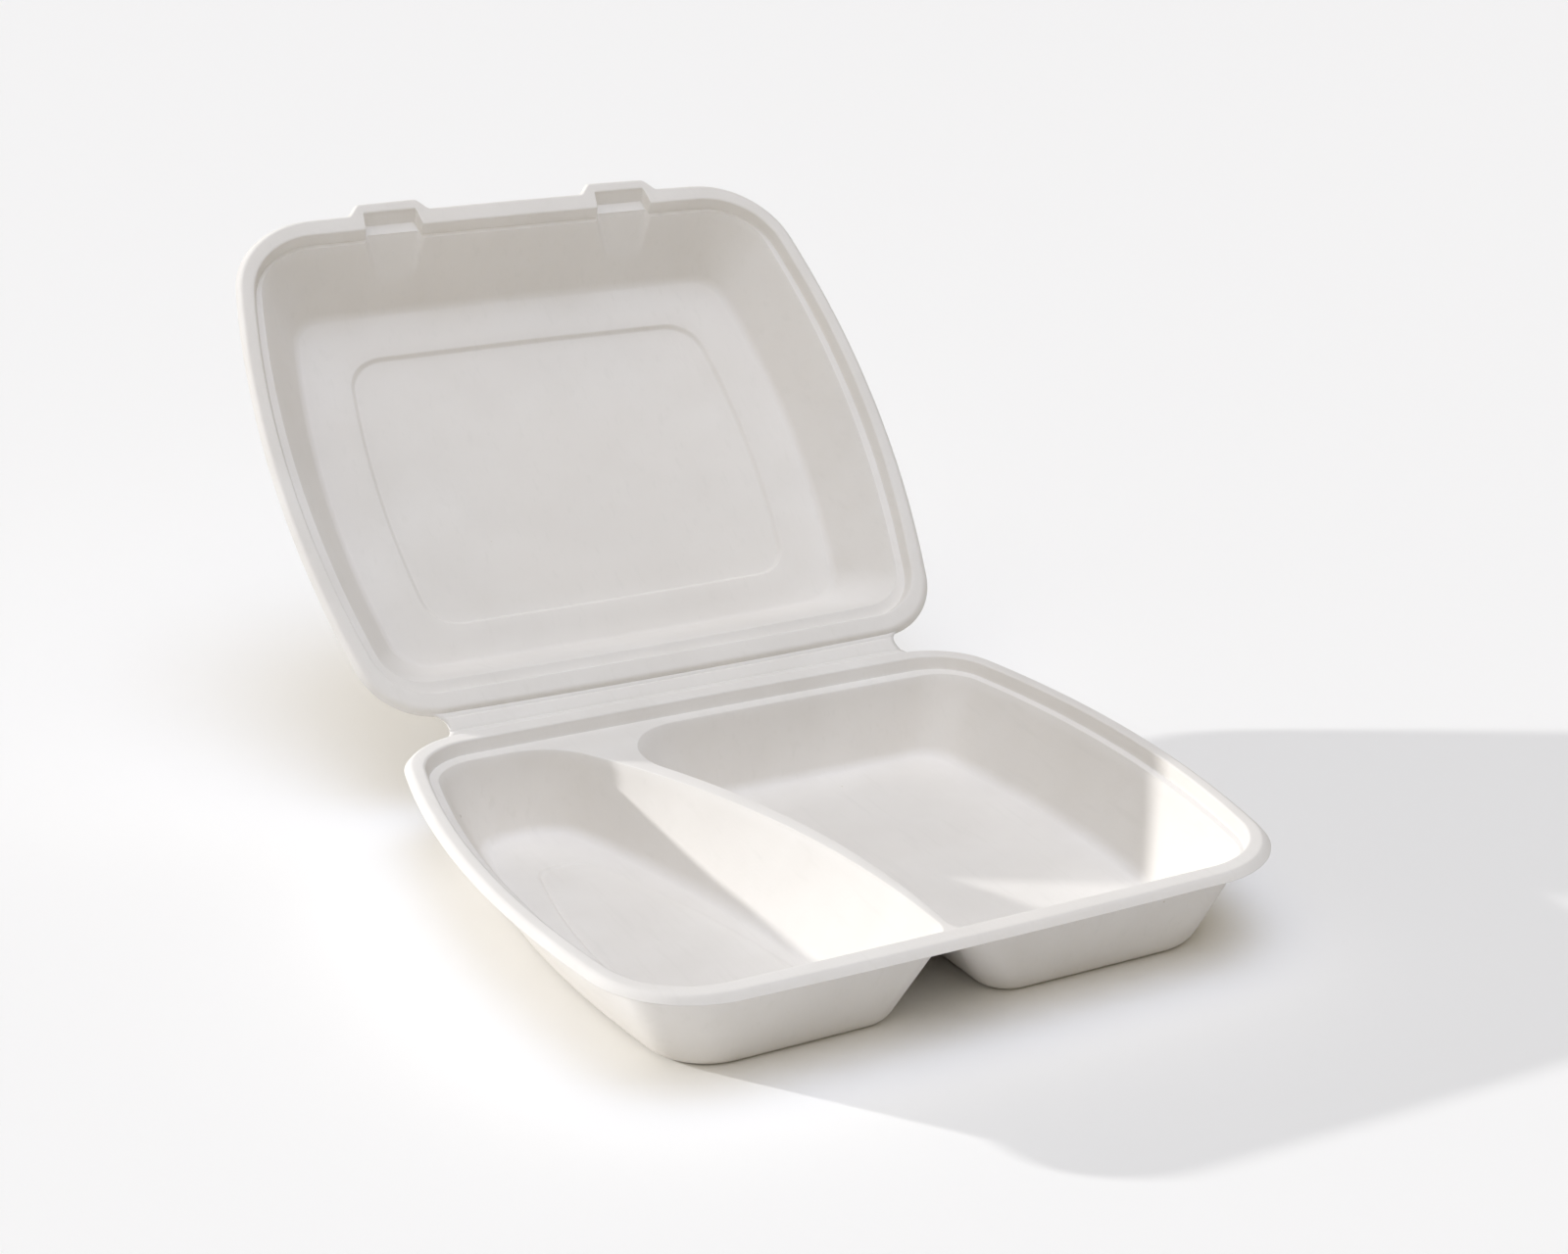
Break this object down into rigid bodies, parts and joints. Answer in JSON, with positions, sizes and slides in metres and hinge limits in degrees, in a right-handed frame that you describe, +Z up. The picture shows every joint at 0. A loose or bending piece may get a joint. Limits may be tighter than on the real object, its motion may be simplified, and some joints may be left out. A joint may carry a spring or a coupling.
{
  "type": "clamshell meal box",
  "caption": "Clamshell meal box moulded from plant fibre: a shallow tray with a curved divider, a domed lid on a fold, and lugs on the lid's front edge.",
  "frame": {"origin": "on the table, in the middle of the bounding box of the standing box with its lid open", "axes": "+Z up; +Y from the tray's front edge towards the fold and the open lid; +X to the right as seen from the front"},
  "size_m": [0.235, 0.3689, 0.1784],
  "materials": {
    "fibre": "matt off-white moulded plant fibre"
  },
  "bodies": {
    "tray": {"tray": "fibre"},
    "lid": {"lid": "fibre"}
  },
  "joints": [
    {"name": "lid_fold", "type": "hinge", "parent": "tray", "child": "lid", "pos_m": [0, 0.02575, 0.0332], "axis": [-1, 0, 0], "range_deg": [-137, 43]}
  ]
}
